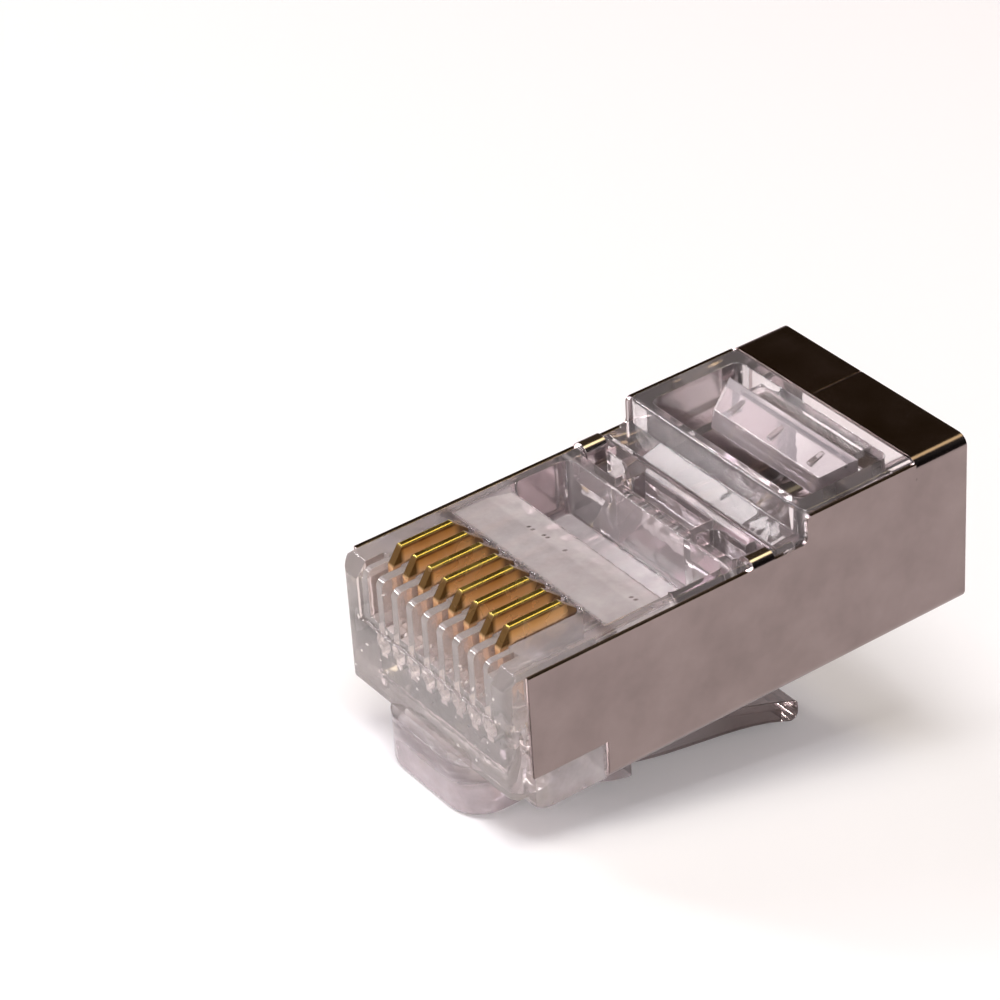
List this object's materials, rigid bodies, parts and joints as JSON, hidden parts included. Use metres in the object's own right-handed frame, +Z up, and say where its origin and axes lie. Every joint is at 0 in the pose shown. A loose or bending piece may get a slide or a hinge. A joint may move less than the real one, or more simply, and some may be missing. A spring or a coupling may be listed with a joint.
{
  "type": "rj45 modular plug",
  "caption": "Shielded modular plug for network cable: clear moulding with a sprung latch lever, gold blade contacts, folded metal shield and open cable entry.",
  "frame": {"origin": "middle of the plug's outline on the surface it lies on", "axes": "+Z up from that surface, contact side up; +X from the front face towards the cable end, level; +Y across. The plug's own long axis rises 14.9 degrees towards +X, because it lies on its latch root and lever."},
  "size_m": [0.0237, 0.0116, 0.0152],
  "materials": {
    "clear_plastic": "clear polycarbonate, polished, slightly lilac",
    "plated_sheet": "satin nickel plate on thin folded copper alloy sheet",
    "gold_plate": "gold plated, bright rolled crowns and matt stamped sides"
  },
  "bodies": {
    "plug_body": {"housing": "clear_plastic", "shield": "plated_sheet"},
    "latch": {"latch_lever": "clear_plastic"},
    "blade_1": {"contact_1": "gold_plate"},
    "blade_2": {"contact_2": "gold_plate"},
    "blade_3": {"contact_3": "gold_plate"},
    "blade_4": {"contact_4": "gold_plate"},
    "blade_5": {"contact_5": "gold_plate"},
    "blade_6": {"contact_6": "gold_plate"},
    "blade_7": {"contact_7": "gold_plate"},
    "blade_8": {"contact_8": "gold_plate"}
  },
  "joints": [
    {"name": "latch_press", "type": "hinge", "parent": "plug_body", "child": "latch", "pos_m": [-0.00722, 0, 0.00114], "axis": [0, -1, 0], "range_deg": [0, 17], "stiffness_Nm_per_rad": 0.18},
    {"name": "crimp_1", "type": "slide", "parent": "plug_body", "child": "blade_1", "axis": [-0.2571, 0, 0.9664], "range_m": [-0.00145, 0]},
    {"name": "crimp_2", "type": "slide", "parent": "plug_body", "child": "blade_2", "axis": [-0.2571, 0, 0.9664], "range_m": [-0.00145, 0]},
    {"name": "crimp_3", "type": "slide", "parent": "plug_body", "child": "blade_3", "axis": [-0.2571, 0, 0.9664], "range_m": [-0.00145, 0]},
    {"name": "crimp_4", "type": "slide", "parent": "plug_body", "child": "blade_4", "axis": [-0.2571, 0, 0.9664], "range_m": [-0.00145, 0]},
    {"name": "crimp_5", "type": "slide", "parent": "plug_body", "child": "blade_5", "axis": [-0.2571, 0, 0.9664], "range_m": [-0.00145, 0]},
    {"name": "crimp_6", "type": "slide", "parent": "plug_body", "child": "blade_6", "axis": [-0.2571, 0, 0.9664], "range_m": [-0.00145, 0]},
    {"name": "crimp_7", "type": "slide", "parent": "plug_body", "child": "blade_7", "axis": [-0.2571, 0, 0.9664], "range_m": [-0.00145, 0]},
    {"name": "crimp_8", "type": "slide", "parent": "plug_body", "child": "blade_8", "axis": [-0.2571, 0, 0.9664], "range_m": [-0.00145, 0]}
  ]
}
